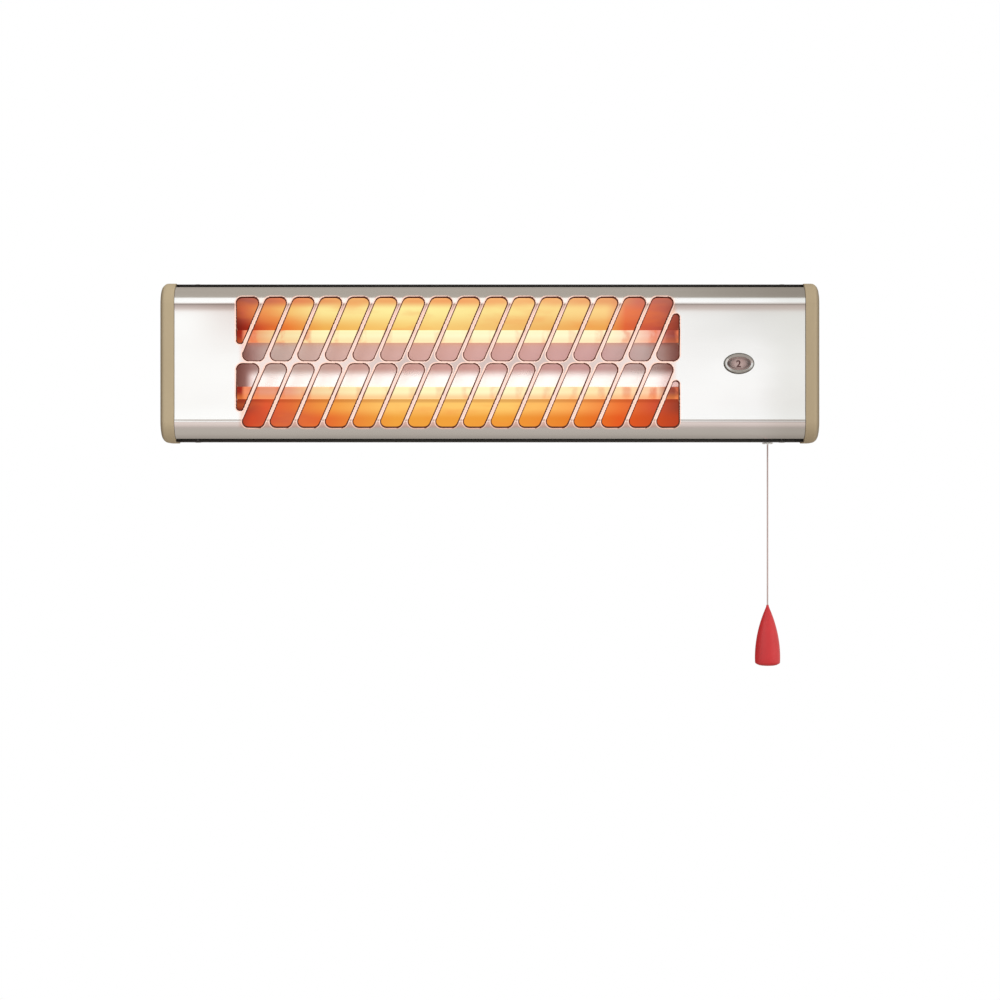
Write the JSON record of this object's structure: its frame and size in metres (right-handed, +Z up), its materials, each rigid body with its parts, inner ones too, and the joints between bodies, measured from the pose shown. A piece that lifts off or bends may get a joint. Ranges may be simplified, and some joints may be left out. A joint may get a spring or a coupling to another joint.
{
  "type": "bathroom wall heater",
  "caption": "Long wall-hung radiant heater: quartz tubes and reflector behind a slanted-slot steel front, tilting wall bracket, pull-cord switch with an oval window.",
  "frame": {"origin": "centre of the wall bracket's back face, on the wall", "axes": "+Y into the wall, +X along the heater to the viewer's right, +Z up"},
  "size_m": [0.52, 0.0938, 0.305],
  "materials": {
    "bright_steel": "satin",
    "black_paint": "satin",
    "beige_plastic": "satin",
    "polished_aluminium": "polished",
    "zinc_sheet": "satin",
    "zinc_screw": "satin",
    "spring_steel": "satin",
    "quartz": "gloss",
    "glowing_wire": "matte",
    "white_ceramic": "satin",
    "chrome_trim": "polished",
    "smoked_lens": "gloss",
    "disc_plastic": "satin",
    "white_plastic": "satin",
    "black_plastic": "satin",
    "red_plastic": "satin",
    "nylon_cord": "matte",
    "black_rubber": "matte",
    "silicone_sleeve": "matte"
  },
  "bodies": {
    "bracket": {"wall_bracket": "zinc_sheet", "pivot_rivet_left": "zinc_screw", "pivot_rivet_right": "zinc_screw"},
    "heater": {"front_panel": "bright_steel", "rear_housing": "black_paint", "panel_screw_lower_left": "zinc_screw", "panel_screw_lower_right": "zinc_screw", "panel_screw_upper_left": "zinc_screw", "panel_screw_upper_right": "zinc_screw", "end_cap_left": "beige_plastic", "end_cap_right": "beige_plastic", "cap_screw_left_lower": "zinc_screw", "cap_screw_left_upper": "zinc_screw", "cap_screw_right_lower": "zinc_screw", "cap_screw_right_upper": "zinc_screw", "reflector": "polished_aluminium", "tube_plate_left": "zinc_sheet", "tube_plate_right": "zinc_sheet", "quartz_tube_lower": "quartz", "quartz_tube_upper": "quartz", "heating_coil_lower": "glowing_wire", "heating_coil_upper": "glowing_wire", "ceramic_cap_lower_left": "white_ceramic", "ceramic_cap_lower_right": "white_ceramic", "ceramic_cap_upper_left": "white_ceramic", "ceramic_cap_upper_right": "white_ceramic", "terminal_pin_lower_left": "zinc_screw", "terminal_pin_lower_right": "zinc_screw", "terminal_pin_upper_left": "zinc_screw", "terminal_pin_upper_right": "zinc_screw", "window_bezel": "chrome_trim", "window_lens": "smoked_lens", "wheel_spring": "spring_steel", "switch_body": "black_plastic", "switch_stand": "zinc_sheet", "cord_guide": "white_plastic", "cable_grommet": "black_rubber", "cable_clamp": "zinc_sheet", "clamp_screw_left": "zinc_screw", "clamp_screw_right": "zinc_screw", "terminal_block": "white_plastic", "earth_stud": "zinc_screw", "link_wire_left": "silicone_sleeve", "wire_neutral": "silicone_sleeve", "wire_switch_upper": "silicone_sleeve", "wire_switch_lower": "silicone_sleeve", "wire_live": "silicone_sleeve", "pivot_lug_left": "zinc_sheet", "pivot_lug_right": "zinc_sheet"},
    "inner_cord": {"cord_inside": "nylon_cord"},
    "pull": {"pull_cord": "nylon_cord", "pull_knob": "red_plastic", "cord_knot": "nylon_cord"},
    "wheel": {"cord_wheel": "white_plastic", "cord_on_wheel": "nylon_cord"},
    "indicator": {"indicator_disc": "disc_plastic", "indicator_spindle": "zinc_screw"},
    "left_lock": {"lock_knob_left": "black_plastic"},
    "right_lock": {"lock_knob_right": "black_plastic"}
  },
  "joints": [
    {"name": "tilt", "type": "hinge", "parent": "bracket", "child": "heater", "pos_m": [0, -0.015, 0], "axis": [1, 0, 0], "range_deg": [0, 30]},
    {"name": "cord_pull", "type": "slide", "parent": "heater", "child": "inner_cord", "axis": [0, 0, -1], "range_m": [0, 0.0115], "stiffness_N_per_m": 800, "springref_m": -0.005},
    {"name": "cord_swing", "type": "hinge", "parent": "inner_cord", "child": "pull", "pos_m": [0.222, -0.061, -0.0641], "axis": [1, 0, 0], "range_deg": [-30.5, 0]},
    {"name": "cord_wheel", "type": "hinge", "parent": "heater", "child": "wheel", "pos_m": [0.211, -0.061, -0.001], "axis": [0, 1, 0], "range_deg": [0, 60], "deforming": ["wheel_spring"]},
    {"name": "indicator", "type": "hinge", "parent": "heater", "child": "indicator", "pos_m": [0.211, -0.061, -0.001], "axis": [0, 1, 0], "continuous": true},
    {"name": "lock_screw_left", "type": "hinge", "parent": "heater", "child": "left_lock", "pos_m": [-0.1565, -0.0128, 0.00821], "axis": [-1, 0, 0], "range_deg": [0, 180]},
    {"name": "lock_screw_right", "type": "hinge", "parent": "heater", "child": "right_lock", "pos_m": [0.1565, -0.0128, 0.00821], "axis": [1, 0, 0], "range_deg": [0, 180]}
  ],
  "couplings": [
    {"joint": "cord_swing", "follows": "tilt", "ratio": -1},
    {"joint": "cord_wheel", "follows": "cord_pull", "rad_per_m": 90.909}
  ]
}
